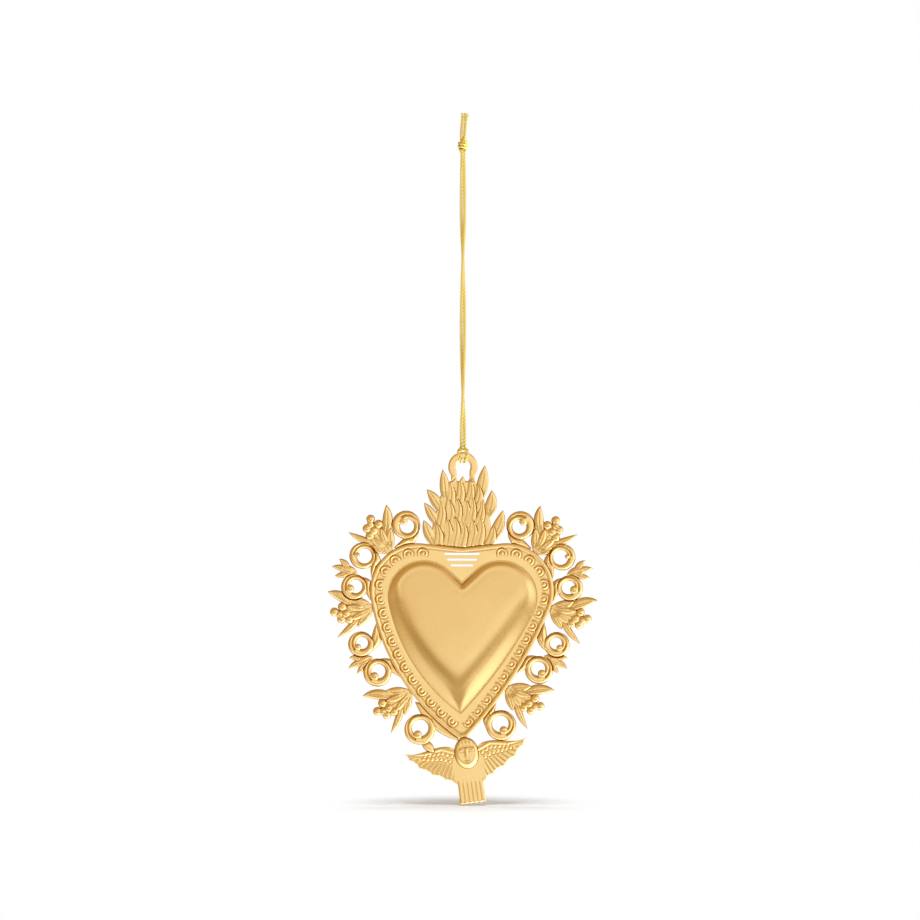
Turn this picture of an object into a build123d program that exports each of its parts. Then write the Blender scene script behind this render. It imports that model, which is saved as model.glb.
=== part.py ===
"""Hanging tin ornament: a flaming heart in pressed, pierced gold sheet on a knotted loop of gold cord.

Millimetres, +Z up, the front of the ornament towards -Y. The origin is the hanging point, inside the loop
just under its knot. The sheet is one pressing. It is drawn here as its motifs, which meet edge to edge.
"""

import os
from math import asin, atan2, cos, degrees, hypot, pi, radians, sin, sqrt, tan

from build123d import *

os.makedirs("parts", exist_ok=True)

# Sheet and cord
sheet = 0.5
cord_dia = 1.3
loop_length = 116.6
cord_gap = 0.3
strand_gap = 0.1

# Heart: two lobes, a cleft between them, and sides that run to the tip
band_lobe_r = 19.0
band_lobe_x = 17.8
band_lobe_z = 2.1
band_cleft_z = 19.2
tip_x = 0.4
tip_z = -58.1
left_turn = 9.0
right_turn = 23.0
dome_lobe_r = 14.1
dome_lobe_x = 15.3
dome_lobe_z = -0.5
dome_cleft_z = 4.7
dome_tip_x = -0.8
dome_tip_z = -46.6
dome_left_turn = 12.0
dome_right_turn = 28.0
dome_height = 3.6
dome_steps = ((0.6, 0.12), (2.0, 0.42), (4.0, 0.75), (6.5, 0.94), (10.5, 1.0))
dome_top_share = 0.32
slot_height = 0.9
slot_pitch = 2.3
slot_lengths = (14.2, 12.0, 9.0)
slot_top_z = 16.8

# Flames and hanging ring
crest_height = 51.6
crest_base_z = 18.4
crest_half_base = 12.9
heart_x = -0.4
ring_outer_r = 5.9
ring_width = 2.9
ring_foot = 5.6
hitch_angle = 20.0

# Border motifs. Stations run from 0 at the cleft to 1 at the tip, along each side of the heart.
scroll_stations = (0.178, 0.309, 0.389, 0.556, 0.655, 0.872)
scroll_outs = (7.7, 7.0, 6.4, 8.4, 7.0, 7.2)
scroll_radii = (5.7, 5.3, 5.2, 5.1, 5.6, 6.1)
scroll_eyes = (2.8, 3.0, 2.7, 2.4, 2.8, 3.3)
scroll_runs = (6.4, 5.4, 5.0, -6.2, 6.4, -6.6)
stem_width = 4.2
stem_bend = 1.5
eye_shift = 0.6
bud_radii = (1.5, 0.9, 1.6, 1.2, 1.6, 1.6)
spray_stations = (0.25, 0.457, 0.763)
spray_reach = 16.2
spray_half_span = 10.2
spike_width = 3.2
berry_r = 1.75
sprig_stations = (0.354, 0.606)
sprig_reach = 16.6
sprig_leaf_width = 2.5
left_station_shift = -0.003
right_station_shift = 0.006

# Cherub under the tip
cherub_lean = 7.8
head_x = 1.8
head_z = -62.8
head_rx = 4.9
head_rz = 6.3
head_height = 1.6
head_wall = 1.0
wing_span = 26.4
wing_rise = 3.8
wing_drop = 12.2
gown_half_width = 5.2
gown_length = 20.3

# Knot and tails
knot_height = 5.2
knot_r = 2.3
tail_length = 10.4

# Places worked out from the sizes above
cord_r = cord_dia / 2
leg_x = cord_r + strand_gap / 2
bar_y = -(cord_dia + strand_gap)
plate_y = bar_y + cord_r + cord_gap + sheet / 2
back_y = plate_y + sheet / 2 + cord_gap + cord_r
bar_rise = ring_outer_r + cord_gap + cord_r
stub_rise = bar_rise + cord_r + 0.7 * cord_dia
bend_rise = stub_rise + cord_gap + cord_r
ring_z = -loop_length - bend_rise
heart_z = ring_z - crest_height
ring_inner_r = ring_outer_r - ring_width
dome_gap = 0.6 * sheet
head_gap = 0.6 * sheet

PLATE = Plane(origin=(heart_x, plate_y, heart_z), x_dir=(1, 0, 0), z_dir=(0, -1, 0))
RING = Plane(origin=(0, plate_y, ring_z), x_dir=(1, 0, 0), z_dir=(0, -1, 0))
lean = radians(cherub_lean)
CHERUB = Plane(
    origin=(heart_x + head_x, plate_y, heart_z + head_z),
    x_dir=(cos(lean), 0, sin(lean)),
    z_dir=(0, -1, 0),
)


def save(part, name):
    """Labels a finished piece and writes it under its name."""
    part.part.label = name
    export_step(part.part, f"parts/{name}.step")


def side_line(side, lobe, cleft_z, tip, turn):
    """One side of a heart from cleft to tip: a tangent, the lobe and a tangent arc. side is -1 or 1."""
    lobe_x, lobe_z, lobe_r = lobe
    across = lobe_x
    rise = lobe_z - cleft_z
    reach = hypot(across, rise)
    start = atan2(rise, across) + asin(lobe_r / reach)
    straight = sqrt(reach**2 - lobe_r**2)
    heading = (side * cos(start), sin(start))
    touch = (side * straight * cos(start), cleft_z + straight * sin(start))
    sweep = degrees(start) + 90 + turn
    with BuildLine() as line:
        Line((0, cleft_z), touch)
        round_lobe = JernArc(touch, heading, lobe_r, -side * sweep)
        TangentArc([round_lobe @ 1, tip], tangent=round_lobe % 1)
    return line


def heart_edges(lobe, cleft_z, tip, turns):
    """Both sides of a heart, as the edges of one closed outline."""
    left = side_line(-1, lobe, cleft_z, tip, turns[0])
    right = side_line(1, lobe, cleft_z, tip, turns[1])
    return left.edges() + right.edges()


band_lobe = (band_lobe_x, band_lobe_z, band_lobe_r)
band_tip = (tip_x, tip_z)
rim = {
    -1: side_line(-1, band_lobe, band_cleft_z, band_tip, left_turn).wire(),
    1: side_line(1, band_lobe, band_cleft_z, band_tip, right_turn).wire(),
}
station_shift = {-1: left_station_shift, 1: right_station_shift}


def at_rim(side, station, along=0.0, out=0.0):
    """A point of the plate, from a station on the heart's rim: along it towards the tip, and outward."""
    distance = (station + station_shift[side]) * rim[side].length
    point = rim[side].position_at(distance, position_mode=PositionMode.LENGTH)
    heading = rim[side].tangent_at(distance, position_mode=PositionMode.LENGTH)
    outward = (-side * heading.Y, side * heading.X)
    x = point.X + along * heading.X + out * outward[0]
    z = point.Y + along * heading.Y + out * outward[1]
    return (x, z)


def leaf(base, tip, width, bend):
    """A pointed leaf in the current sketch. bend moves its middle sideways."""
    length = hypot(tip[0] - base[0], tip[1] - base[1])
    normal = ((base[1] - tip[1]) / length, (tip[0] - base[0]) / length)
    middle = ((base[0] + tip[0]) / 2, (base[1] + tip[1]) / 2)
    near = bend - width / 2
    far = bend + width / 2
    with BuildLine() as outline:
        ThreePointArc(base, (middle[0] + near * normal[0], middle[1] + near * normal[1]), tip)
        ThreePointArc(tip, (middle[0] + far * normal[0], middle[1] + far * normal[1]), base)
    make_face(outline.edges())


def rim_leaf(side, station, base, tip, width, bend):
    """A leaf given in rim coordinates, each end as (along, out)."""
    leaf(at_rim(side, station, *base), at_rim(side, station, *tip), width, side * bend)


# Head: an oval pressed out of the sheet, hollow behind
with BuildPart() as cherub_head:
    with BuildSketch(CHERUB.offset(-sheet / 2)):
        Ellipse(head_rx, head_rz)
    with BuildSketch(CHERUB.offset(sheet / 2)):
        Ellipse(head_rx, head_rz)
    with BuildSketch(CHERUB.offset(sheet / 2 + head_height)):
        Ellipse(head_rx - head_wall, head_rz - head_wall)
    loft(ruled=True)
    with BuildSketch(CHERUB.offset(-sheet / 2)):
        Ellipse(head_rx - head_gap, head_rz - head_gap)
    with BuildSketch(CHERUB.offset(-sheet / 2 + head_height)):
        Ellipse(head_rx - head_wall - head_gap, head_rz - head_wall - head_gap)
    loft(ruled=True, mode=Mode.SUBTRACT)
save(cherub_head, "cherub_head")

# The whole of the head's oval, which the sheet round it is cut to
with BuildPart() as head_space:
    with BuildSketch(CHERUB):
        Ellipse(head_rx, head_rz)
    extrude(amount=sheet, both=True)

# Band round the heart, with three slots pierced under the flames
with BuildPart() as heart_band:
    with BuildSketch(PLATE):
        make_face(heart_edges(band_lobe, band_cleft_z, band_tip, (left_turn, right_turn)))
        make_face(
            heart_edges(
                (dome_lobe_x, dome_lobe_z, dome_lobe_r),
                dome_cleft_z,
                (dome_tip_x, dome_tip_z),
                (dome_left_turn, dome_right_turn),
            ),
            mode=Mode.SUBTRACT,
        )
        for number, slot_length in enumerate(slot_lengths):
            with Locations((0, slot_top_z - number * slot_pitch)):
                SlotOverall(slot_length, slot_height, mode=Mode.SUBTRACT)
    extrude(amount=sheet / 2, both=True)
    add(head_space.part, mode=Mode.SUBTRACT)
save(heart_band, "heart_band")


def dome_face(inset, gap=0.0):
    """The dome's outline, drawn in by inset at its sides, by less over the lobes, and by an even gap."""
    make_face(
        heart_edges(
            (dome_lobe_x, dome_lobe_z + (1 - dome_top_share) * inset, dome_lobe_r - inset - gap),
            dome_cleft_z - 1.4 * (dome_top_share * inset + gap),
            (dome_tip_x, dome_tip_z + 1.9 * (inset + gap)),
            (dome_left_turn, dome_right_turn),
        )
    )


# Dome: the raised heart, steep over its lobes, with long slopes to the tip. It is hollow behind.
with BuildPart() as heart_dome:
    with BuildSketch(PLATE.offset(-sheet / 2)):
        dome_face(0)
    with BuildSketch(PLATE.offset(sheet / 2)):
        dome_face(0)
    for inset, share in dome_steps:
        with BuildSketch(PLATE.offset(sheet / 2 + share * dome_height)):
            dome_face(inset)
    loft(ruled=True)
    with BuildSketch(PLATE.offset(-sheet / 2)):
        dome_face(0, dome_gap)
    for inset, share in dome_steps:
        with BuildSketch(PLATE.offset(-sheet / 2 + share * dome_height)):
            dome_face(inset, dome_gap)
    loft(ruled=True, mode=Mode.SUBTRACT)
save(heart_dome, "heart_dome")

# Flame crest: a body of sheet with tongues of flame round it. Points are shares of the half base and the rise.
# Each tongue is base, tip, width and bend, the last two as shares of the half base.
crest_rise = crest_height - crest_base_z
tongues = (
    ((-0.5, 0.53), (-0.6, 0.97), 0.31, -0.016),
    ((0.5, 0.53), (0.71, 1.02), 0.36, -0.023),
    ((-0.59, 0.41), (-1.09, 0.73), 0.33, -0.047),
    ((-0.73, 0.26), (-1.17, 0.57), 0.29, -0.023),
    ((-0.81, 0.02), (-1.19, 0.36), 0.33, 0.016),
    ((0.67, 0.35), (0.92, 0.72), 0.37, -0.101),
    ((0.78, 0.05), (1.27, 0.48), 0.37, -0.078),
    ((-0.26, 0.65), (-0.2, 0.87), 0.25, 0.023),
    ((0.02, 0.65), (0.03, 0.89), 0.23, 0.016),
    ((0.28, 0.65), (0.26, 0.87), 0.25, -0.016),
)


def in_crest(share):
    """A point of the crest, from its shares of the half base and of the rise above the base."""
    return (share[0] * crest_half_base, crest_base_z + share[1] * crest_rise)


with BuildPart() as flame_crest:
    with BuildSketch(PLATE):
        with BuildLine():
            Polyline(
                in_crest((-1.0, 0.0)),
                in_crest((1.0, 0.0)),
                in_crest((0.88, 0.35)),
                in_crest((0.64, 0.65)),
                in_crest((0.4, 0.83)),
                in_crest((-0.37, 0.83)),
                in_crest((-0.67, 0.65)),
                in_crest((-0.9, 0.35)),
                close=True,
            )
        make_face()
        for base, tip, width, bend in tongues:
            leaf(in_crest(base), in_crest(tip), width * crest_half_base, bend * crest_half_base)
    extrude(amount=sheet / 2, both=True)
    add(heart_band.part, mode=Mode.SUBTRACT)
save(flame_crest, "flame_crest")

# Hanging ring: a flat horseshoe whose feet run into the flames
with BuildPart() as hanging_ring:
    with BuildSketch(RING):
        Circle(ring_outer_r)
        with Locations((0, -ring_foot / 2)):
            Rectangle(2 * ring_inner_r + 1.2 * ring_width, ring_foot)
        Circle(ring_inner_r, mode=Mode.SUBTRACT)
        with Locations((0, -ring_outer_r)):
            Rectangle(2 * ring_inner_r - 0.8, 2 * ring_outer_r, mode=Mode.SUBTRACT)
    extrude(amount=sheet / 2, both=True)
    add(flame_crest.part, mode=Mode.SUBTRACT)
save(hanging_ring, "hanging_ring")


def scroll_outline(side, number):
    """The outside of a scroll in the current sketch: its round, and a stem that sweeps under it to the rim."""
    station = scroll_stations[number]
    radius = scroll_radii[number]
    out = scroll_outs[number]
    run = scroll_runs[number]
    hand = 1 if run > 0 else -1
    with Locations(at_rim(side, station, 0, out)):
        Circle(radius)
    stem_end = (-hand * 0.8 * radius, out - 0.45 * radius)
    rim_leaf(side, station, (run, -sheet), stem_end, stem_width, hand * stem_bend)


def make_scroll_space(side, number):
    """The whole of a scroll with its eye filled, which the leaves beside it are cut to."""
    with BuildPart() as space:
        with BuildSketch(PLATE):
            scroll_outline(side, number)
        extrude(amount=sheet, both=True)
    return space


def make_scroll(side, number):
    """A volute that springs from the rim, with a bud curled into its eye."""
    station = scroll_stations[number]
    radius = scroll_radii[number]
    out = scroll_outs[number]
    eye_r = scroll_eyes[number]
    bud = at_rim(side, station, 0.25 * eye_r, out + 0.6 * eye_r)
    eye = at_rim(side, station, -eye_shift / 2, out - eye_shift)
    with BuildPart() as scroll:
        with BuildSketch(PLATE):
            scroll_outline(side, number)
            if (side, number) == (-1, len(scroll_stations) - 1):
                rim_leaf(side, station, (-1.48 * radius, 0.5), (2.38 * radius, -0.5), radius, 0)
                strap_out = out + 0.41 * radius
                rim_leaf(side, station, (0.57 * radius, strap_out), (1.75 * radius, strap_out), 0.6 * radius, 0)
            with Locations(eye):
                Circle(eye_r, mode=Mode.SUBTRACT)
            with Locations(bud):
                Circle(bud_radii[number])
        extrude(amount=sheet / 2, both=True)
        add(heart_band.part, mode=Mode.SUBTRACT)
        add(flame_crest.part, mode=Mode.SUBTRACT)
        add(head_space.part, mode=Mode.SUBTRACT)
    return scroll


def make_spray(side, station, neighbours):
    """A bunch of berries between two long leaves, on a short stalk from the rim."""
    span = spray_half_span
    reach = spray_reach
    with BuildPart() as spray:
        with BuildSketch(PLATE):
            rim_leaf(side, station, (0, -2.0), (-0.6, reach - 0.4), 6.8, 0)
            rim_leaf(side, station, (-1.0, 0.0), (-0.62 * span, 0.47 * reach), 3.8, -0.6)
            rim_leaf(side, station, (1.0, 0.0), (0.6 * span, 0.45 * reach), 3.6, 0.6)
            rim_leaf(side, station, (-1.5, 0.38 * reach), (-span, reach), 1.3 * spike_width, 1.0)
            rim_leaf(side, station, (0.5, 4.0), (0.84 * span, reach), spike_width * 0.85, -0.8)
            berries = ((-1.7, -1.0), (1.7, -3.2), (-3.1, -4.5), (0.0, -5.4), (2.4, -6.2))
            for along, short in berries:
                with Locations(at_rim(side, station, along, reach + short)):
                    Circle(berry_r)
        extrude(amount=sheet / 2, both=True)
        add(heart_band.part, mode=Mode.SUBTRACT)
        for neighbour in neighbours:
            add(neighbour.part, mode=Mode.SUBTRACT)
    return spray


def make_sprig(side, station, neighbours):
    """A palmette of three leaves that springs from between two scrolls."""
    reach = sprig_reach
    with BuildPart() as sprig:
        with BuildSketch(PLATE):
            rim_leaf(side, station, (0, 0.36 * reach), (0.2, 0.82 * reach), 4.4, 0)
            rim_leaf(side, station, (0, reach - 7.5), (0.2, reach), sprig_leaf_width, 0.4)
            rim_leaf(side, station, (0, reach - 7.5), (-3.6, reach - 2.0), sprig_leaf_width, 0.5)
            rim_leaf(side, station, (0, reach - 7.5), (3.4, reach - 2.2), sprig_leaf_width, -0.5)
        extrude(amount=sheet / 2, both=True)
        add(heart_band.part, mode=Mode.SUBTRACT)
        for neighbour in neighbours:
            add(neighbour.part, mode=Mode.SUBTRACT)
    return sprig


last_scrolls = []
for side, word in ((-1, "left"), (1, "right")):
    numbers = range(len(scroll_stations))
    scrolls = [make_scroll(side, number) for number in numbers]
    spaces = [make_scroll_space(side, number) for number in numbers]
    for number, scroll in enumerate(scrolls):
        save(scroll, f"scroll_{word}_{number + 1}")
    sprigs = []
    for number, station in enumerate(sprig_stations):
        sprigs.append(make_sprig(side, station, spaces))
        save(sprigs[-1], f"sprig_{word}_{number + 1}")
    for number, station in enumerate(spray_stations):
        spray = make_spray(side, station, spaces + scrolls[-1:] + sprigs)
        save(spray, f"spray_{word}_{number + 1}")
    last_scrolls.append(scrolls[-1])


# Gown: a fluted trapezium below the head, scalloped along its hem
hem_scallops = 5
scallop = 2 * gown_half_width / hem_scallops
with BuildPart() as cherub_gown:
    with BuildSketch(CHERUB):
        with BuildLine():
            Polyline(
                (-gown_half_width, -gown_length),
                (0.1 - gown_half_width, -8.5),
                (0.6 - gown_half_width, -2.0),
                (gown_half_width - 0.6, -2.0),
                (gown_half_width - 0.1, -8.5),
                (gown_half_width, -gown_length),
            )
            for number in range(hem_scallops):
                right_end = gown_half_width - number * scallop
                SagittaArc((right_end, -gown_length), (right_end - scallop, -gown_length), -0.35)
        make_face()
    extrude(amount=sheet / 2, both=True)
    add(head_space.part, mode=Mode.SUBTRACT)
save(cherub_gown, "cherub_gown")


def make_wing(side):
    """An open wing: a curved leading edge and five long feathers, each ending in a round."""
    reach = wing_span
    feathers = ((0.87, 0.0), (0.73, 0.32), (0.545, 0.59), (0.36, 0.8), (0.2, 1.0))
    shoulder = (side * 0.61 * head_rx, 0.16 * head_rz)
    armpit = (side * 0.41 * head_rx, -0.82 * wing_drop)
    with BuildPart() as wing:
        with BuildSketch(CHERUB):
            with BuildLine() as outline:
                start = (side * reach, wing_rise)
                crook = (side * 0.37 * reach, 0.97 * wing_rise)
                dip = (side * 0.64 * reach, 0.68 * wing_rise)
                Spline(shoulder, crook, dip, start)
                for share, drop in feathers:
                    end = (side * share * reach, -drop * wing_drop)
                    SagittaArc(start, end, side * -0.18 * wing_rise)
                    start = end
                Line(start, armpit)
                Line(armpit, shoulder)
            make_face(outline.edges())
        extrude(amount=sheet / 2, both=True)
        add(head_space.part, mode=Mode.SUBTRACT)
        add(cherub_gown.part, mode=Mode.SUBTRACT)
        add(heart_band.part, mode=Mode.SUBTRACT)
        for scroll in last_scrolls:
            add(scroll.part, mode=Mode.SUBTRACT)
    return wing


left_wing = make_wing(-1)
save(left_wing, "cherub_wing_left")
right_wing = make_wing(1)
save(right_wing, "cherub_wing_right")

# Cord hitch: the bight lies across the front, and each half goes down in front of the ring and up behind it
wrap = radians(hitch_angle)
inner_reach = ring_inner_r - cord_gap - cord_r
top_reach = ring_outer_r + 0.7
half_hitch = (
    (bar_rise * tan(wrap), bar_y, bar_rise),
    (inner_reach * sin(wrap), bar_y, inner_reach * cos(wrap)),
    (inner_reach * sin(wrap), back_y, inner_reach * cos(wrap)),
    (top_reach * sin(wrap), back_y, top_reach * cos(wrap)),
    (leg_x, 0, bar_rise + 0.8 * cord_r),
    (leg_x, 0, stub_rise),
)
left_half = [(-x, y, ring_z + z) for x, y, z in reversed(half_hitch)]
right_half = [(x, y, ring_z + z) for x, y, z in half_hitch]
hitch_points = left_half + right_half


def bend_radii(points):
    """The bend at each inner point: 0.45 of its shorter run, over the tangent of half the turn."""
    radii = []
    for before, here, after in zip(points, points[1:], points[2:]):
        first = Vector(here) - Vector(before)
        second = Vector(after) - Vector(here)
        turn = first.get_angle(second)
        shorter = min(first.length, second.length)
        radii.append(min(0.45 * shorter / tan(radians(turn / 2)), 1.2))
    return radii


hitch_radii = bend_radii(hitch_points)
with BuildPart() as cord_hitch:
    with BuildLine() as hitch_line:
        FilletPolyline(*hitch_points, radius=hitch_radii)
    with BuildSketch(Plane(origin=hitch_line.wire() @ 0, z_dir=hitch_line.wire() % 0)):
        Circle(cord_r)
    sweep()
save(cord_hitch, "cord_hitch")

# Cord legs: two straight strands from the bend above the hitch to just under the knot
leg_top_gap = 0.15
for side, word in ((-1, "left"), (1, "right")):
    with BuildPart() as cord_leg:
        with BuildSketch(Plane.XY.offset(-loop_length)):
            with Locations((side * leg_x, 0)):
                Circle(cord_r)
        extrude(amount=loop_length - leg_top_gap)
        with Locations((side * leg_x, 0, -loop_length)):
            Sphere(cord_r)
    save(cord_leg, f"cord_leg_{word}")

# Knot: both strands go in from below, wrap over each other and come out above
wrap_r = knot_r - cord_r
tail_shifts = (leg_x - cord_dia - strand_gap / 2, leg_x + strand_gap / 2)
with BuildPart() as cord_knot:
    with Locations((0, 0, knot_height / 2)):
        Sphere(knot_r - 0.35)
    with Locations(Location((0, 0, knot_height / 2 - 0.7), (0, 24, 0))):
        Torus(wrap_r, cord_r)
    with Locations(Location((0, 0, knot_height / 2 + 0.8), (0, -30, 0))):
        Torus(wrap_r, cord_r)
    with Locations(Location((0, 0, knot_height / 2), (0, 62, 12))):
        Torus(wrap_r, cord_r)
    with BuildSketch(Plane.XY):
        with Locations((-leg_x, 0), (leg_x, 0)):
            Circle(cord_r)
    extrude(amount=knot_height / 2)
    with BuildSketch(Plane.XY.offset(knot_height)):
        with Locations((tail_shifts[0], 0), (tail_shifts[1], 0)):
            Circle(cord_r)
    extrude(amount=-knot_height / 2)
save(cord_knot, "cord_knot")

# Tails: the two cut ends of the cord above the knot
for shift, word in zip(tail_shifts, ("left", "right")):
    tail_points = (
        (shift, 0, knot_height),
        (shift, 0, knot_height + 0.35 * tail_length),
        (shift + 0.8, 0, knot_height + tail_length),
    )
    with BuildPart() as cord_tail:
        with BuildLine() as tail_line:
            FilletPolyline(*tail_points, radius=4 * cord_dia)
        with BuildSketch(Plane(origin=tail_line.wire() @ 0, z_dir=tail_line.wire() % 0)):
            Circle(cord_r)
        sweep()
    save(cord_tail, f"cord_tail_{word}")

print("ring centre", plate_y, ring_z)
print("hitch bends", [round(radius, 2) for radius in hitch_radii])
print("hitch length", round(hitch_line.wire().length, 1), "leg length", loop_length, "tail length", tail_length)
hitch_run = hitch_line.wire().length
print("hitch volume", round(cord_hitch.part.volume, 2), "tube", round(hitch_run * pi * cord_r**2, 2))
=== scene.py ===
"""Looks for the hanging tin ornament: a flaming heart pressed from satin gold sheet, on a doubled gold cord.

Lengths are worked out in millimetres and set down in metres. The front of the ornament faces -Y.
"""

from math import atan2, asin, cos, hypot, pi, radians, sin, sqrt

import bpy
import numpy as np
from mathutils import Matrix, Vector
from mathutils.geometry import delaunay_2d_cdt


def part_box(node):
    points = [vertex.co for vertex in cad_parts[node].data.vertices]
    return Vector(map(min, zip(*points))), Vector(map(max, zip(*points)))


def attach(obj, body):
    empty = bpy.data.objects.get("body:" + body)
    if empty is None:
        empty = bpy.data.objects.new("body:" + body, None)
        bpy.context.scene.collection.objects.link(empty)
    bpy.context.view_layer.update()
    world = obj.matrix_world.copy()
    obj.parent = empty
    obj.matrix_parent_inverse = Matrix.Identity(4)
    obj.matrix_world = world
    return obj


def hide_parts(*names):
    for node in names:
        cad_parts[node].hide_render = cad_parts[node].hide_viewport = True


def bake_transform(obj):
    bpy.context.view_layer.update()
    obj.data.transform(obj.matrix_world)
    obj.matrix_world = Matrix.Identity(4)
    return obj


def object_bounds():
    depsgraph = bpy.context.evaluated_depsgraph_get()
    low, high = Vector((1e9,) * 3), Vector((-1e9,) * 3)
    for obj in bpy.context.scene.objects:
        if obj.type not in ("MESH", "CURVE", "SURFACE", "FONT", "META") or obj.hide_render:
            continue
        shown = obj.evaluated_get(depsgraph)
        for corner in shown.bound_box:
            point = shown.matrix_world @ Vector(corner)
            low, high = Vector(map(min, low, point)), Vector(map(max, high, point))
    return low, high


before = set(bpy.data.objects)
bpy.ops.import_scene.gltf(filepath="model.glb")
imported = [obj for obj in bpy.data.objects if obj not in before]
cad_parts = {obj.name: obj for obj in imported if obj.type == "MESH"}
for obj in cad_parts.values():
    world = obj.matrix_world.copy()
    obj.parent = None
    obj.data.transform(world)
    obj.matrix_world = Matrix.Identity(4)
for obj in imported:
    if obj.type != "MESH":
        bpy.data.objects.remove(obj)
cad_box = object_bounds()
MM = 0.001

# Sizes of the pressing, as the solids have them
sheet = 0.5
band_lobe_r, band_lobe_x, band_lobe_z, band_cleft_z = 19.0, 17.8, 2.1, 19.2
band_tip = (0.4, -58.1)
band_turns = {-1: 9.0, 1: 23.0}
crest_height, crest_base_z, crest_half_base = 51.6, 18.4, 12.9
scroll_stations = (0.178, 0.309, 0.389, 0.556, 0.655, 0.872)
scroll_outs = (7.7, 7.0, 6.4, 8.4, 7.0, 7.2)
scroll_radii = (5.7, 5.3, 5.2, 5.1, 5.6, 6.1)
scroll_eyes = (2.8, 3.0, 2.7, 2.4, 2.8, 3.3)
scroll_runs = (6.4, 5.4, 5.0, -6.2, 6.4, -6.6)
bud_radii = (1.5, 0.9, 1.6, 1.2, 1.6, 1.6)
stem_width, stem_bend, eye_shift = 4.2, 1.5, 0.6
spray_stations = (0.25, 0.457, 0.763)
spray_reach, spray_half_span, spike_width, berry_r = 16.2, 10.2, 3.2, 1.75
sprig_stations = (0.354, 0.606)
sprig_reach, sprig_leaf_width = 16.6, 2.5
station_shift = {-1: -0.003, 1: 0.006}
cherub_lean = radians(7.8)
head_place = (1.8, -62.8)
head_rx, head_rz, head_height = 4.9, 6.3, 1.6
wing_span, wing_rise, wing_drop = 26.4, 3.8, 12.2
gown_half_width, gown_length = 5.2, 20.3
dome_height = 3.6
cord_dia = 1.3

# The heart's datum on the plate, from the frame
band_low, band_high = (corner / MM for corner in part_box("heart_band"))
heart_x = (band_low.x + band_high.x) / 2
heart_z = band_high.z - band_lobe_z - band_lobe_r
plate_y = (band_low.y + band_high.y) / 2

# What the look alone has: the height of the heart's top at its lobes, as a share of the full height, the
# spacings of the points in a sheet with chased lines and in a smooth one, and the level of turned-back edges
dome_top_share = 0.14
CRISP = 0.24
SMOOTH = 0.4
edge_low = -0.15


# Colour and materials


def srgb(code):
    """A hex colour as linear red, green, blue and alpha."""
    parts = [int(code[i : i + 2], 16) / 255 for i in (1, 3, 5)]
    return tuple(c / 12.92 if c <= 0.04045 else ((c + 0.055) / 1.055) ** 2.4 for c in parts) + (1.0,)


def add_node(tree, kind, inputs=None, **properties):
    """Adds a node, sets its properties, and sets or links its inputs, which go by name or number."""
    node = tree.nodes.new(kind)
    for key, value in properties.items():
        setattr(node, key, value)
    for key, value in (inputs or {}).items():
        if isinstance(value, bpy.types.NodeSocket):
            tree.links.new(value, node.inputs[key])
        else:
            node.inputs[key].default_value = value
    return node


def new_material(name):
    """An empty material and its node tree."""
    material = bpy.data.materials.new(name)
    material.use_nodes = True
    material.node_tree.nodes.clear()
    return material, material.node_tree


def satin_gold_sheet():
    """Pressed brass-coloured sheet, satin finished: broad soft reflections. It is browner in the chased
    lines and hollows, as oxide and painted shade, and darker along the cut edges. Its tone is clouded,
    and it has a grain from polishing, which is drawn coarser than the real one so that it shows."""
    cloud_width, grain_width = 14 * MM, 0.7 * MM
    material, tree = new_material("satin_gold_pressed_sheet")
    place = add_node(tree, "ShaderNodeTexCoord").outputs["Object"]
    oxide_and_painted_shade = add_node(tree, "ShaderNodeAttribute", attribute_name="oxide_and_painted_shade")
    clouds = add_node(tree, "ShaderNodeTexNoise", {"Vector": place, "Scale": 1 / cloud_width, "Detail": 4.0})
    grain = add_node(tree, "ShaderNodeTexNoise", {"Vector": place, "Scale": 1 / grain_width, "Detail": 2.0})
    tone = add_node(
        tree,
        "ShaderNodeMix",
        {"Factor": clouds.outputs["Fac"], 6: srgb("#EDC880"), 7: srgb("#F6D690")},
        data_type="RGBA",
    )
    # Browner by the shade attribute of the pressing: oxide and painted shade in the hollows, darker cut edges
    tarnished_and_shaded = add_node(
        tree,
        "ShaderNodeMix",
        {"Factor": oxide_and_painted_shade.outputs["Fac"], 6: tone.outputs[2], 7: srgb("#BA8438")},
        data_type="RGBA",
    )
    rough = add_node(
        tree, "ShaderNodeMapRange", {"Value": grain.outputs["Fac"], "To Min": 0.24, "To Max": 0.34}
    )
    bump = add_node(
        tree, "ShaderNodeBump", {"Height": grain.outputs["Fac"], "Strength": 0.15, "Distance": 0.00006}
    )
    shader = add_node(
        tree,
        "ShaderNodeBsdfPrincipled",
        {
            "Base Color": tarnished_and_shaded.outputs[2],
            "Roughness": rough.outputs["Result"],
            "Normal": bump.outputs["Normal"],
            "Metallic": 1.0,
        },
    )
    add_node(tree, "ShaderNodeOutputMaterial", {"Surface": shader.outputs["BSDF"]})
    return material


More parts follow.
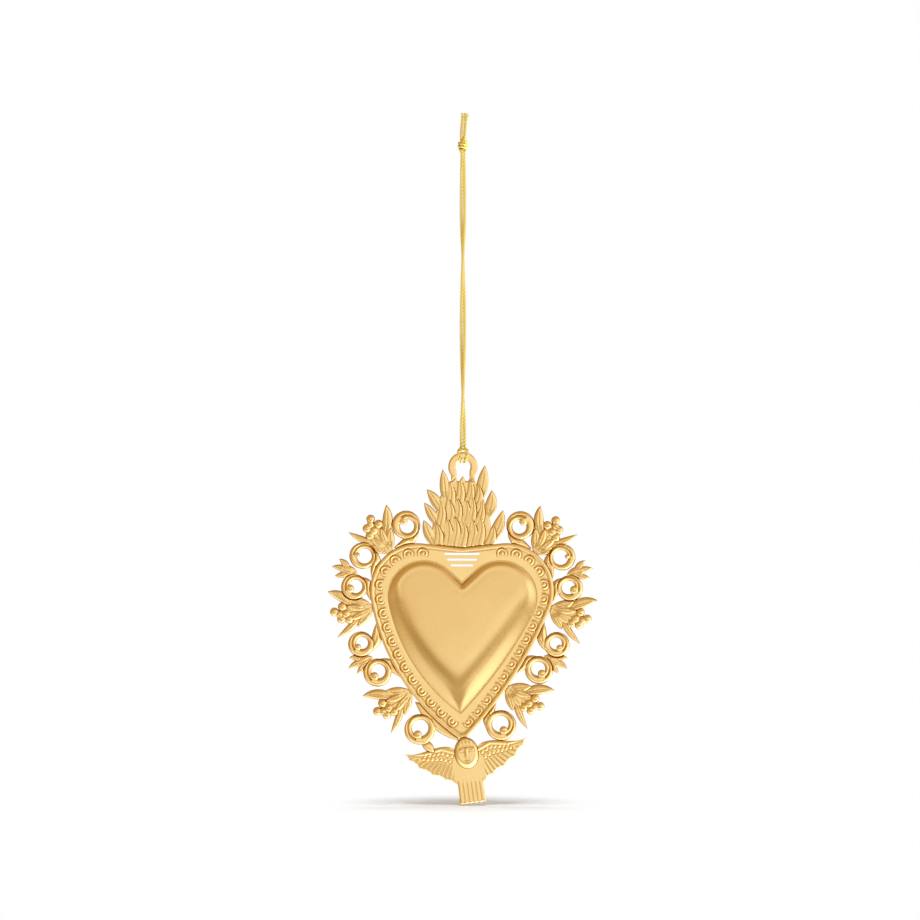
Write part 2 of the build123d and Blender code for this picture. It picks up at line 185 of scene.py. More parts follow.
def metallic_cord():
    """Lurex cord: lemon-gold film wound round a core, three plies laid together. Paler stripes of the film
    along the windings are a painted glint, and the hollows between the plies are painted ochre shade."""
    material, tree = new_material("metallic_gold_cord")
    winding = add_node(tree, "ShaderNodeAttribute", attribute_name="winding")
    ply_shade = add_node(tree, "ShaderNodeAttribute", attribute_name="ply_shade")
    turn = add_node(tree, "ShaderNodeMath", {0: winding.outputs["Fac"], 1: 2 * pi}, operation="MULTIPLY")
    wave = add_node(tree, "ShaderNodeMath", {0: turn.outputs[0]}, operation="SINE")
    # Painted glint: the film is paler in stripes along the windings
    share = add_node(
        tree, "ShaderNodeMapRange", {"Value": wave.outputs[0], "From Min": -1.0, "From Max": 1.0}
    )
    film = add_node(
        tree,
        "ShaderNodeMix",
        {"Factor": share.outputs["Result"], 6: srgb("#F6D54C"), 7: srgb("#FFF7AE")},
        data_type="RGBA",
    )
    # Painted shade: ochre between the plies, close to the cord's middle line
    tone = add_node(
        tree,
        "ShaderNodeMix",
        {"Factor": ply_shade.outputs["Fac"], 6: film.outputs[2], 7: srgb("#A57412")},
        data_type="RGBA",
    )
    bump = add_node(
        tree, "ShaderNodeBump", {"Height": wave.outputs[0], "Strength": 0.5, "Distance": 0.00004}
    )
    shader = add_node(
        tree,
        "ShaderNodeBsdfPrincipled",
        {"Base Color": tone.outputs[2], "Normal": bump.outputs["Normal"], "Metallic": 1.0, "Roughness": 0.34},
    )
    add_node(tree, "ShaderNodeOutputMaterial", {"Surface": shader.outputs["BSDF"]})
    return material


SHEET_GOLD = satin_gold_sheet()
CORD_GOLD = metallic_cord()


# Places on the plate, in millimetres from the heart's datum


def rim_line(side):
    """One side of the heart's rim from cleft to tip, as points less than 0.2 mm apart."""
    across, rise = band_lobe_x, band_lobe_z - band_cleft_z
    reach = hypot(across, rise)
    start = atan2(rise, across) + asin(band_lobe_r / reach)
    straight = sqrt(reach**2 - band_lobe_r**2)
    along = np.linspace(0, straight, 100)
    run = np.stack([along * cos(start), band_cleft_z + along * sin(start)], 1)
    angles = np.linspace(start + pi / 2, radians(-band_turns[side]), 800)
    lobe_x = band_lobe_x + band_lobe_r * np.cos(angles)
    lobe_z = band_lobe_z + band_lobe_r * np.sin(angles)
    lobe = np.stack([lobe_x, lobe_z], 1)
    heading = np.array([sin(angles[-1]), -cos(angles[-1])])
    normal = np.array([heading[1], -heading[0]])
    chord = np.array([side * band_tip[0], band_tip[1]]) - lobe[-1]
    radius = chord @ chord / (2 * chord @ normal)
    sweep = 2 * asin(np.linalg.norm(chord) / (2 * radius))
    turn = np.linspace(0, sweep, 500)[:, None]
    flank = lobe[-1] + radius * (np.sin(turn) * heading + (1 - np.cos(turn)) * normal)
    points = np.concatenate([run, lobe[1:], flank[1:]])
    points[:, 0] *= side
    return points


def run_along(line):
    """How far along a line of points each point lies."""
    return np.append(0, np.cumsum(np.linalg.norm(np.diff(line, axis=0), axis=1)))


RIM = {side: rim_line(side) for side in (-1, 1)}
RIM_RUN = {side: run_along(RIM[side]) for side in RIM}


def at_rim(side, station, along=0.0, out=0.0):
    """A point from a station on the rim: along it towards the tip, and outward."""
    run, look_ahead = RIM_RUN[side], 0.2
    distance = (station + station_shift[side]) * run[-1]
    point = np.array([np.interp(distance, run, RIM[side][:, axis]) for axis in (0, 1)])
    ahead = np.array([np.interp(distance + look_ahead, run, RIM[side][:, axis]) for axis in (0, 1)])
    heading = (ahead - point) / np.linalg.norm(ahead - point)
    outward = np.array([-side * heading[1], side * heading[0]])
    return point + along * heading + out * outward


def rim_leaf(side, station, base, tip, width, bend):
    """A leaf on the plate from rim coordinates: base, tip, width and sideways bend."""
    return at_rim(side, station, *base), at_rim(side, station, *tip), width, side * bend


def cherub_place(points):
    """Points of the plate in the leaning cherub's own axes."""
    step = points - np.array(head_place)
    turn = np.array([[cos(cherub_lean), -sin(cherub_lean)], [sin(cherub_lean), cos(cherub_lean)]])
    return step @ turn


# Relief: how far each point of the sheet is pressed towards the front. A relief takes the points, the loops
# of the outline and each point's distance from it. The number before a pillow or ridge is its height or
# depth, and the numbers inside are its place and its width, in millimetres.


def pillow(distance, width):
    """From 0 at an edge to 1 a width in from it, rounded over."""
    return 1 - (1 - np.clip(distance / width, 0, 1)) ** 2


def ridge(distance, width):
    """A round ridge about distance 0."""
    return np.exp(-((distance / width) ** 2))


def rounded_over(distance, low, rise, width):
    """A sheet whose cut edge is at the low level, and which climbs by the rise within the width."""
    return low + rise * pillow(distance, width)


def leaf_axes(points, leaf):
    """Along from 0 to 1, millimetres off the middle line, and the half width, for a bent leaf."""
    base, tip, width, bend = leaf
    base, tip = np.array(base), np.array(tip)
    length = np.linalg.norm(tip - base)
    heading = (tip - base) / length
    step = points - base
    along = step @ heading / length
    swell = np.clip(4 * along * (1 - along), 0, 1)
    off = step @ np.array([-heading[1], heading[0]]) - bend * swell
    return along, off, width / 2 * swell


def lay_leaf(height, points, leaf, crown, vein=0.2, level=-0.1):
    """Lays a leaf over what is there: a rounded blade with a chased line down its middle."""
    along, off, half = leaf_axes(points, leaf)
    share = off / np.maximum(half, 1e-3)
    on_leaf = (np.abs(share) < 1) & (along > 0) & (along < 1)
    blade = level + crown * np.sqrt(np.clip(1 - share**2, 0, 1)) * np.clip(2.5 * along, 0.4, 1)
    blade = blade - vein * ridge(off, 0.2) * np.clip(4 * (1 - along), 0, 1)
    return np.where(on_leaf, np.maximum(height, blade), height)


def lay_berry(height, points, centre, radius, crown):
    """Lays a round berry over what is there."""
    share = np.linalg.norm(points - centre, axis=1) / radius
    dome = crown * np.sqrt(np.clip(1 - share**2, 0, 1))
    return np.where(share < 1, np.maximum(height, dome), height)


def press_band(points, loops, distance):
    """Heart band: a raised edge round the rim, a fine line beside the dome, and horseshoe stamps."""
    by_width = sorted(loops, key=lambda loop: np.ptp(loop[:, 0]))
    from_rim = distance_to(by_width[-1:], points)
    from_dome = distance_to(by_width[-2:-1], points)
    height = 0.12 * pillow(from_rim, 0.4)
    height += 0.24 * ridge(from_rim - 0.9, 0.5)
    height -= 0.14 * ridge(from_rim - 1.85, 0.22)
    height -= 0.16 * ridge(from_dome - 0.3, 0.22)
    spacing, first, clear_of_tip, inset = 5.8, 15.5, 5.0, 3.9
    for side in (-1, 1):
        stations = np.linspace(0, 0.99, 800) - station_shift[side]
        row = np.array([at_rim(side, station, 0, -inset) for station in stations])
        run = run_along(row)
        for place in np.arange(first, run[-1] - clear_of_tip, spacing):
            station = np.interp(place, run, stations)
            centre, rim_point = at_rim(side, station, 0, -inset), at_rim(side, station)
            height = stamp_horseshoe(height, points, centre, rim_point)
    return height


def stamp_horseshoe(height, points, centre, rim_point):
    """A raised arch, open towards the dome, with a small bead under it and a sunk line round it."""
    outward = (rim_point - centre) / np.linalg.norm(rim_point - centre)
    step = points - centre
    up = step @ outward
    across = step @ np.array([-outward[1], outward[0]])
    radius = np.hypot(across, up)
    angle = np.abs(np.arctan2(across, up))
    arch_turn, bead_r, bead_drop = 2.2, 0.6, 0.1
    open_end = np.clip((arch_turn - angle) / 0.25, 0, 1)
    arch = ridge(radius - 1.6, 0.32) * open_end
    sunk = (ridge(radius - 2.2, 0.24) + ridge(radius - 1.0, 0.22)) * open_end
    bead = np.sqrt(np.clip(1 - (across**2 + (up + bead_drop) ** 2) / bead_r**2, 0, 1))
    return height + 0.32 * arch - 0.2 * sunk + 0.24 * bead


def dome_share(outline, points, side):
    """How far up its slope each point lies, from one side of the outline. A slope that faces up is short."""
    facings, slope_widths = (-0.7, -0.1, 0.5, 1.0), (12.5, 7.5, 2.6, 1.8)
    run = half_outline(outline, side)
    away, edge = nearest_edge(run, points)
    heading = np.diff(run, axis=0)
    size = np.linalg.norm(heading, axis=1)
    faces_up = side * heading[:, 0] / size
    past = ((points - run[edge]) * heading[edge]).sum(1) / size[edge] ** 2
    faces_up = np.interp(edge + np.clip(past, 0, 1), np.arange(len(size)) + 0.5, faces_up)
    return away / np.interp(faces_up, facings, slope_widths)


def dome_rise(outline, points):
    """How far up the dome's slope each point lies, from 0 at the outline to 1 on top. The slopes of its two
    sides run softly into each other in the lower half, and meet in a sharp crease close to the tip."""
    left, right = (dome_share(outline, points, side) for side in (-1, 1))
    heights, softness, sharp_below, sharpest = (-34, -12), (0.5, 0.02), 1.2, 0.04
    blend = np.interp(points[:, 1], heights, softness) * np.clip((left + right) / sharp_below, sharpest, 1)
    mix = np.clip(0.5 + 0.5 * (right - left) / blend, 0, 1)
    share = np.clip(right + (left - right) * mix - blend * mix * (1 - mix), 0, 1)
    straight = 0.36
    steepness = 2 / (1 + straight)
    shoulder = 1 - steepness / 2 * (1 - share) ** 2 / (1 - straight)
    return np.where(share < straight, steepness * share, shoulder)


def press_dome(points, loops, distance):
    """The raised heart: low and steep over its lobes, with long slopes that meet in a crease by the tip."""
    rise = dome_rise(loops[0], points)
    turns = np.radians(np.arange(0, 360, 45))
    round_about = np.stack([np.cos(turns), np.sin(turns)], 1)
    steps = [reach * step for reach in (1.6, 3.2) for step in round_about]
    soft = np.mean([dome_rise(loops[0], points + step) for step in steps], axis=0)
    rise += (soft - rise) * np.clip((distance - 2.5) / 3.0, 0, 1)
    climb_start, climb_length, side_fall, half_width = 15, 52, 0.15, 30
    down = np.clip((climb_start - points[:, 1]) / climb_length, 0, 1)
    level = dome_top_share + (1 - dome_top_share) * np.sin(pi / 2 * down)
    return dome_height * level * (1 - side_fall * (points[:, 0] / half_width) ** 2) * rise


def press_flames(points, loops, distance):
    """Flames: long waved tongues in rows that overlap, the lower rows in front, each with a fine line."""
    rng = np.random.default_rng(11)
    height = rounded_over(distance, -0.12, 0.25, 0.7)
    # Outer tongues as the solid has them: base, tip, width and bend, in shares of the half base and the rise
    outer = (
        ((-0.5, 0.53), (-0.6, 0.97), 0.31, -0.016),
        ((0.5, 0.53), (0.71, 1.02), 0.36, -0.023),
        ((-0.59, 0.41), (-1.09, 0.73), 0.33, -0.047),
        ((-0.73, 0.26), (-1.17, 0.57), 0.29, -0.023),
        ((-0.81, 0.02), (-1.19, 0.36), 0.33, 0.016),
        ((0.67, 0.35), (0.92, 0.72), 0.37, -0.101),
        ((0.78, 0.05), (1.27, 0.48), 0.37, -0.078),
    )
    rise = crest_height - crest_base_z
    for base, tip, width, bend in outer:
        ends = [(x * crest_half_base, crest_base_z + z * rise) for x, z in (base, tip)]
        leaf = (*ends, width * crest_half_base, bend * crest_half_base)
        height = lay_leaf(height, points, leaf, 0.55, 0.2)
    # Rows of tongues: the height of the tips, half the row's width and the number of tongues
    rows = ((47.0, 6.6, 4), (40.0, 9.4, 6), (31.5, 11.8, 7))
    tongue_length, overlap, base_spread, tip_spread, row_curve = 19.0, 1.2, 0.86, 1.08, 1.8
    for number, (tip_z, half, count) in enumerate(rows):
        for place in range(count):
            share = (place + 0.5 + 0.2 * (-1) ** number) / count * 2 - 1
            x = share * half
            tip_x = tip_spread * x + rng.uniform(-0.6, 0.6)
            tip = (tip_x, tip_z - row_curve * share**2 + rng.uniform(-1.1, 1.1))
            base = (base_spread * x, tip_z - tongue_length)
            width = 2 * half / count * overlap
            along, off, _ = leaf_axes(points, (base, tip, width, rng.uniform(-0.5, 0.3)))
            off = off - rng.uniform(0.6, 1.1) * np.sin(2 * pi * np.clip(along, 0, 1))
            wide = width / 2 * np.sin(pi * np.clip(along, 0, 1) ** 0.8) ** 0.7
            across = off / np.maximum(wide, 1e-3)
            on_tongue = (np.abs(across) < 1) & (along > 0.02) & (along < 1) & (distance > 0.3)
            blade = 0.62 * pillow(across + 1, 0.7) - 0.3 * (across + 1) / 2
            blade -= 0.12 * ridge(across + 0.96, 0.16)
            blade -= 0.14 * ridge(off - 0.15 * wide, 0.16) * np.clip(5 * along * (1 - along), 0, 1)
            height = np.where(on_tongue, blade, height)
    return height


def press_ring(points, loops, distance):
    """Hanging ring: flat, with its edges rounded over."""
    return rounded_over(distance, -0.1, 0.32, 0.7)


def press_scroll(side, number):
    """A volute: a rounded strip that sweeps up from the rim, round its eye, and curls into a bud."""
    station, out = scroll_stations[number], scroll_outs[number]
    radius, eye_r = scroll_radii[number], scroll_eyes[number]
    bud_r, run = bud_radii[number], scroll_runs[number]
    groove_turn, lip_turn = 4.0, 2.2
    hand = 1 if run > 0 else -1
    centre = at_rim(side, station, 0, out)
    eye = at_rim(side, station, -eye_shift / 2, out - eye_shift)
    bud = at_rim(side, station, 0.25 * eye_r, out + 0.6 * eye_r)
    stem_end = (-hand * 0.8 * radius, out - 0.45 * radius)
    stem = rim_leaf(side, station, (run, -sheet), stem_end, stem_width, hand * stem_bend)

    def relief(points, loops, distance):
        from_centre = np.linalg.norm(points - centre, axis=1)
        from_eye = np.linalg.norm(points - eye, axis=1)
        height = rounded_over(distance, edge_low, 0.9, 1.3)
        height -= 0.34 * ridge(from_centre - radius, 0.3) * np.clip((distance - 0.35) / 0.4, 0, 1)
        along, off, half = leaf_axes(points, stem)
        lip = ridge(off - 0.25 * half, 0.4) * ((along > 0.05) & (along < 0.95)) * (from_centre > radius)
        height += 0.22 * lip
        step, toward_bud = points - eye, bud - eye
        turn = np.arctan2(toward_bud[0] * step[:, 1] - toward_bud[1] * step[:, 0], step @ toward_bud)
        turned = side * turn % (2 * pi)
        middle = 0.45 * eye_r + 0.55 * radius
        line = middle + (radius - 0.5 - middle) * turned / groove_turn
        groove = ridge(from_eye - line, 0.38) * np.clip(groove_turn - turned, 0, 1)
        height -= 0.55 * groove * (from_centre < radius)
        height += 0.3 * ridge(from_eye - eye_r - 0.5, 0.6) * np.clip(1 - turned / lip_turn, 0, 1)
        return lay_berry(height, points, bud, bud_r + 0.25, 1.15)

    return relief


def press_spray(side, station):
    """Berries between two long leaves, over a fan of plump leaves."""
    span, reach = spray_half_span, spray_reach
    # Base and tip along and out from the rim, width and bend; berries along it and short of the reach
    leaves = [
        ((0, -2.0), (-0.6, reach - 0.4), 6.8, 0),
        ((-1.0, 0.0), (-0.62 * span, 0.47 * reach), 3.8, -0.6),
        ((1.0, 0.0), (0.6 * span, 0.45 * reach), 3.6, 0.6),
        ((-1.5, 0.38 * reach), (-span, reach), 1.3 * spike_width, 1.0),
        ((0.5, 4.0), (0.84 * span, reach), spike_width * 0.85, -0.8),
        ((-0.6, 1.0), (-3.0, 0.62 * reach), 3.2, -0.4),
        ((0.8, 1.0), (2.8, 0.58 * reach), 3.2, 0.4),
    ]
    berries = ((-1.7, -1.0), (1.7, -3.2), (-3.1, -4.5), (0.0, -5.4), (2.4, -6.2), (-0.2, -2.6))

    def relief(points, loops, distance):
        height = rounded_over(distance, edge_low, 0.3, 0.8)
        for number, leaf in enumerate(leaves):
            height = lay_leaf(height, points, rim_leaf(side, station, *leaf), 0.7 + 0.07 * number, 0.24)
        for along, short in berries:
            height = lay_berry(height, points, at_rim(side, station, along, reach + short), berry_r, 1.3)
        return np.minimum(height, rounded_over(distance, edge_low, 1.7, 0.9))

    return relief


def press_sprig(side, station):
    """A palmette of three leaves on a stalk."""
    reach = sprig_reach
    fork = (0, reach - 7.5)
    leaves = (
        ((0, 0.36 * reach), (0.2, 0.82 * reach), 4.4, 0),
        (fork, (0.2, reach), sprig_leaf_width, 0.4),
        (fork, (-3.6, reach - 2.0), sprig_leaf_width, 0.5),
        (fork, (3.4, reach - 2.2), sprig_leaf_width, -0.5),
    )

    def relief(points, loops, distance):
        height = rounded_over(distance, edge_low, 0.3, 0.8)
        for leaf in leaves:
            height = lay_leaf(height, points, rim_leaf(side, station, *leaf), 0.8, 0.24)
        return np.minimum(height, rounded_over(distance, edge_low, 1.3, 0.9))

    return relief


def press_head(points, loops, distance):
    """A raised oval with a small plain face: brow, nose, closed eyes and mouth. Its chin slopes away."""
    features, hair_v, curl_width, brow_v, eye_u, lid_v, mouth_v = 0.35, 4.3, 1.4, 2.5, 2.2, 0.7, -2.9
    own = cherub_place(points)
    u, v = own[:, 0], own[:, 1]
    slope = np.interp(v, (-head_rz, -2.0, 2.5, head_rz), (3.2, 1.8, 1.2, 0.9))
    height = (head_height - features) * pillow(distance, slope)
    height += 0.3 * ridge(u, 0.5) * np.clip((v + 1.9) / 0.5, 0, 1) * np.clip((2.2 - v) / 0.6, 0, 1)
    height -= 0.2 * ridge(v - brow_v + 0.05 * u**2, 0.24) * np.clip((3.4 - np.abs(u)) / 0.5, 0, 1)
    for eye in (-1, 1):
        step = u - eye * eye_u
        height += 0.2 * ridge(np.hypot(step / 1.3, (v - 0.95) / 0.6), 0.8)
        lid = ridge(v - lid_v + 0.06 * step**2, 0.17)
        height -= 0.22 * lid * np.clip((1.3 - np.abs(step)) / 0.2, 0, 1)
    height += 0.16 * ridge(np.hypot(u / 1.3, v - mouth_v), 0.55)
    height -= 0.26 * ridge(v - mouth_v - 0.05 * u**2, 0.16) * np.clip((1.2 - np.abs(u)) / 0.25, 0, 1)
    curls = 0.5 + 0.5 * np.cos(2 * pi * u / curl_width)
    return height - 0.12 * curls * ridge(v - hair_v + 0.06 * u**2, 0.6)


def press_gown(points, loops, distance):
    """Gown: a smooth breast that runs on into the wings, and flutes that fan a little to a scalloped hem."""
    breast_z, flute_width, fan_share = -10.5, 1.74, 0.006
    own = cherub_place(points)
    fan = own[:, 0] / (1 - fan_share * (own[:, 1] + gown_length))
    below = np.clip((breast_z - own[:, 1]) / 2.0, 0, 1)
    flute = np.abs(np.sin(pi * fan / flute_width))
    edge = 1 - pillow(distance, 0.5)
    return 0.15 - below * (0.26 * edge - 0.15 * (np.sqrt(flute) - 0.75))


def press_wing(side):
    """A wing: a rounded leading edge, two rows of scale feathers, and long feathers that fan out below."""
    fan_u, fan_v, feather_turn = 1.0, 9.0, radians(5.2)
    scale_start, scale_step, scales = 6.2, 1.75, 7
    lead_x = np.array([0.0, 0.61 * head_rx, 0.37 * wing_span, 0.64 * wing_span, wing_span])
    lead_z = np.array([0.0, 0.16 * head_rz, 0.97 * wing_rise, 0.68 * wing_rise, wing_rise])
    trail_x = np.array([0.0, 0.2, 0.36, 0.545, 0.73, 0.87, 1.0]) * wing_span
    trail_z = np.array([-1.0, -1.0, -0.8, -0.59, -0.32, 0.0, wing_rise / wing_drop]) * wing_drop

    def relief(points, loops, distance):
        own = cherub_place(points)
        u, v = side * own[:, 0], own[:, 1]
        lead = np.interp(u, lead_x, lead_z)
        chord = np.maximum(lead - np.interp(u, trail_x, trail_z), 0.5)
        drop = (lead - v) / chord
        outer = np.clip((u - gown_half_width - 0.6) / 1.2, 0, 1)
        height = 0.15 - 0.28 * outer * (1 - pillow(distance, 0.6))
        turn = np.arctan2(fan_v - v, u - fan_u)
        flute = np.abs(np.sin(pi * turn / feather_turn))
        long_part = np.clip((drop - 0.42) / 0.1, 0, 1) * outer
        height += 0.21 * (np.sqrt(flute) - 0.8) * long_part
        for share, stagger in ((0.2, 0.0), (0.37, 0.5)):
            for number in range(scales):
                x = scale_start + (number + stagger) * scale_step
                top = np.interp(x, lead_x, lead_z)
                z = top - share * (top - np.interp(x, trail_x, trail_z))
                step_u, step_v = u - x, v - z
                reach = np.hypot(step_u, step_v)
                under = np.clip((0.5 - step_v) / 0.3, 0, 1)
                height -= 0.24 * ridge(reach - 0.72, 0.22) * under * (reach < 1.3)
                height += 0.2 * ridge(reach, 0.5)
        height += 0.26 * ridge(lead - v - 0.75, 0.5) - 0.18 * ridge(lead - v - 1.65, 0.25)
        return height

    return relief


# Sheet meshes from the outlines of the solids. Points are worked through in batches to save memory.

BATCH = 4000


def plate_loops(node):
    """The closed outlines of a node's back face, in millimetres from the heart's datum, less any hollow's."""
    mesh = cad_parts[node].data
    places = np.array([v.co for v in mesh.vertices]) / MM
    rear = places[:, 1].max() - 0.01
    flat = np.round(places[:, [0, 2]] - (heart_x, heart_z), 4)
    spots, spot_of = np.unique(flat, axis=0, return_inverse=True)
    spot_of = spot_of.ravel()
    sides = set()
    for face in mesh.polygons:
        corners = list(face.vertices)
        if all(places[c, 1] > rear for c in corners):
            sides.update((spot_of[a], spot_of[b]) for a, b in zip(corners, corners[1:] + corners[:1]))
    edges = {a: b for a, b in sorted(sides) if (b, a) not in sides}
    loops = []
    while edges:
        start, here = edges.popitem()
        loop = [start]
        while here != start and here in edges:
            loop.append(here)
            here = edges.pop(here)
        loops.append(spots[loop])
    if node in ("heart_dome", "cherub_head"):
        loops = [max(loops, key=lambda loop: np.ptp(loop[:, 0]))]
    return loops


def split_long(loop, spacing):
    """The loop with points added so that no edge is longer than the spacing."""
    points = []
    for a, b in zip(loop, np.roll(loop, -1, axis=0)):
        parts = max(1, int(np.ceil(np.linalg.norm(b - a) / spacing)))
        points.extend(a + (b - a) * k / parts for k in range(parts))
    return np.array(points)


def distance_to(loops, points):
    """How far each point is from the nearest of the loops' edges."""
    nearest = np.full(len(points), 1e9)
    for loop in loops:
        nearest = np.minimum(nearest, nearest_edge(np.append(loop, loop[:1], axis=0), points)[0])
    return nearest


def nearest_edge(run, points):
    """How far each point is from a line of points, and the number of the nearest edge on it."""
    a, edge = run[:-1], np.diff(run, axis=0)
    size = np.maximum((edge**2).sum(1), 1e-12)
    away, number = np.empty(len(points)), np.empty(len(points), int)
    for at in range(0, len(points), BATCH):
        batch = slice(at, at + BATCH)
        step = points[batch, None, :] - a
        share = np.clip((step * edge).sum(2) / size, 0, 1)
        gap = ((step - share[..., None] * edge) ** 2).sum(2)
        number[batch] = gap.argmin(1)
        away[batch] = np.sqrt(gap.min(1))
    return away, number


def half_outline(outline, side):
    """The left or right side of a heart's outline, as points from its cleft to its tip."""
    middle_x, near = -0.4, 4
    by_middle = np.abs(outline[:, 0] - middle_x) < near
    upper = np.flatnonzero(by_middle & (outline[:, 1] > 0))
    cleft = upper[outline[upper, 1].argmin()]
    turned = np.roll(outline, -cleft, axis=0)
    tip = turned[:, 1].argmin()
    one, other = turned[: tip + 1], np.append(turned[tip:], turned[:1], axis=0)[::-1]
    return max((one, other), key=lambda run: side * run[:, 0].mean())


def inside(loops, points):
    """Which points lie inside an odd number of the loops."""
    odd = np.zeros(len(points), bool)
    for loop in loops:
        a, b = loop, np.roll(loop, -1, axis=0)
        for at in range(0, len(points), BATCH):
            batch = slice(at, at + BATCH)
            x, z = points[batch, :1], points[batch, 1:]
            spans = (a[:, 1] > z) != (b[:, 1] > z)
            rise = np.where(b[:, 1] == a[:, 1], 1e-12, b[:, 1] - a[:, 1])
            cross = a[:, 0] + (z - a[:, 1]) * (b[:, 0] - a[:, 0]) / rise
            odd[batch] ^= (spans & (x < cross)).sum(1) % 2 == 1
    return odd


def fill_outline(loops, spacing):
    """Points and triangles that fill the loops: the outline itself and an even spread of points within it."""
    keep_off = 0.55 * spacing
    low = np.min([loop.min(0) for loop in loops], axis=0)
    high = np.max([loop.max(0) for loop in loops], axis=0)
    rows = np.arange(low[1], high[1], spacing * sqrt(3) / 2)
    columns = np.arange(low[0], high[0], spacing)
    grid = np.array([(x + (r % 2) * spacing / 2, z) for r, z in enumerate(rows) for x in columns])
    grid = grid[inside(loops, grid)]
    grid = grid[distance_to(loops, grid) > keep_off]
    points, edges = [], []
    for loop in loops:
        first = len(points)
        points.extend(map(tuple, loop))
        edges.extend((first + k, first + (k + 1) % len(loop)) for k in range(len(loop)))
    points.extend(map(tuple, grid))
    found = delaunay_2d_cdt([Vector(p) for p in points], edges, [], 0, 1e-7)
    places = np.array([tuple(p) for p in found[0]])
    triangles = np.array([face for face in found[2] if len(face) == 3])
    middle = places[triangles].mean(1)
    triangles = triangles[inside(loops, middle)]
    a, b, c = (places[triangles[:, k]] for k in range(3))
    area = (b[:, 0] - a[:, 0]) * (c[:, 1] - a[:, 1]) - (b[:, 1] - a[:, 1]) * (c[:, 0] - a[:, 0])
    triangles[area < 0] = triangles[area < 0][:, ::-1]
    return places, triangles[np.abs(area) > 1e-9]


def hollows(height, triangles, rounds):
    """How far each point lies below the mean of what is round it."""
    pairs = np.concatenate([triangles[:, [0, 1]], triangles[:, [1, 2]], triangles[:, [2, 0]]])
    pairs = np.concatenate([pairs, pairs[:, ::-1]])
    count = np.maximum(np.bincount(pairs[:, 0], minlength=len(height)), 1)
    smooth = height.copy()
    for _ in range(rounds):
        smooth = np.bincount(pairs[:, 0], weights=smooth[pairs[:, 1]], minlength=len(height)) / count
    return smooth - height


def press_sheet(node, relief, spacing=CRISP, darkening=1.0, film=0.0):
    """A node's piece of the pressing: its outline filled, pressed by the relief and as thick as the sheet.
    The fourth argument sets how dark its hollows and cut edges are painted, as oxide and painted shade,
    and film how much brown lies evenly over all of it."""
    full_hollow, edge_darkening = 0.28, 0.2
    loops = [split_long(loop, 1.4 * spacing) for loop in plate_loops(node)]
    points, triangles = fill_outline(loops, spacing)
    distance = distance_to(loops, points)
    height = relief(points, loops, distance)
    # Oxide and painted shade: darker where a point lies below the mean of what is round it, and along the cut
    # edges
    oxide_and_painted_shade = np.clip(hollows(height, triangles, rounds=8) / full_hollow, 0, 1)
    oxide_and_painted_shade = oxide_and_painted_shade + edge_darkening * (1 - pillow(distance, 0.4))
    oxide_and_painted_shade = np.clip(darkening * oxide_and_painted_shade + film, 0, 1)
    count = len(points)
    x, z = (points[:, 0] + heart_x) * MM, (points[:, 1] + heart_z) * MM
    front = np.stack([x, (plate_y - sheet / 2 - height) * MM, z], 1)
    back = np.stack([x, (plate_y + sheet / 2 - height) * MM, z], 1)
    sides = np.concatenate([triangles[:, [0, 1]], triangles[:, [1, 2]], triangles[:, [2, 0]]])
    forward = {tuple(pair) for pair in sides.tolist()}
    rim = [pair for pair in forward if pair[::-1] not in forward]
    faces = triangles.tolist() + (triangles[:, ::-1] + count).tolist()
    faces += [(b, a, a + count, b + count) for a, b in sorted(rim)]
    mesh = bpy.data.meshes.new("pressed_" + node)
    mesh.from_pydata(np.concatenate([front, back]).tolist(), [], faces)
    shades = mesh.attributes.new("oxide_and_painted_shade", "FLOAT", "POINT")
    shades.data.foreach_set("value", np.tile(oxide_and_painted_shade, 2).astype(np.float32))
    mesh.shade_smooth()
    mesh.set_sharp_from_angle(angle=radians(50))
    mesh.materials.append(SHEET_GOLD)
    piece = bpy.data.objects.new("pressed_" + node, mesh)
    bpy.context.scene.collection.objects.link(piece)
    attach(piece, "heart")
    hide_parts(node)


# Cord: one doubled length, its route from the knot down the left leg, round the ring and up the right leg

bend_z = -116.6
ring_top = (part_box("hanging_ring")[1] / MM).z
ring_z = ring_top - 5.9
leg_x = 0.7
ply_r, ply_off = 0.31, 0.35 * cord_dia / 1.3
knot_ply_r = 0.34
film_width = 0.42
CORD_STEP, KNOT_STEP = 0.2, 0.15


def leg_turn(z):
    """How far the two legs have wound round each other, in degrees, at a height under the knot."""
    return np.interp(-z, (0, 24, 42, 71, 98, 115, 130), (-60, 0, 90, 180, 270, 360, 360))


def leg_points(side):
    """The route of one leg, from the knot down."""
    leg_top, leg_foot = 1.2, -113.0
    heights = np.linspace(leg_top, leg_foot, 27)
    turns = np.radians(leg_turn(heights))
    return [(side * leg_x * cos(t), -side * leg_x * sin(t), z) for t, z in zip(turns, heights)]


# Half of the hitch, from its bight down in front of the ring's rim, through the eye and up behind to a leg
hitch_half = (
    (2.49, -1.4, 6.85),
    (0.7, -1.4, 1.93),
    (0.7, 1.0, 1.93),
    (2.26, 1.0, 6.2),
    (0.7, 0.0, 7.37),
    (0.7, 0.0, 8.41),
)


def route_points(controls, name, step=CORD_STEP):
    """Points along the smooth line of a route, an even step apart, in millimetres."""
    curve = bpy.data.curves.new(name, "CURVE")
    curve.dimensions = "3D"
    curve.resolution_u = 48
    spline = curve.splines.new("NURBS")
    spline.points.add(len(controls) - 1)
    for point, place in zip(spline.points, controls):
        point.co = (*place, 1.0)
    spline.order_u = 3
    spline.use_endpoint_u = True
    holder = bpy.data.objects.new(name, curve)
    bpy.context.scene.collection.objects.link(holder)
    line = bpy.data.meshes.new_from_object(holder)
    places = np.array([v.co for v in line.vertices], float)
    bpy.data.objects.remove(holder)
    bpy.data.curves.remove(curve)
    bpy.data.meshes.remove(line)
    run = run_along(places)
    even = np.linspace(0, run[-1], int(run[-1] / step) + 1)
    return np.stack([np.interp(even, run, places[:, axis]) for axis in range(3)], 1)


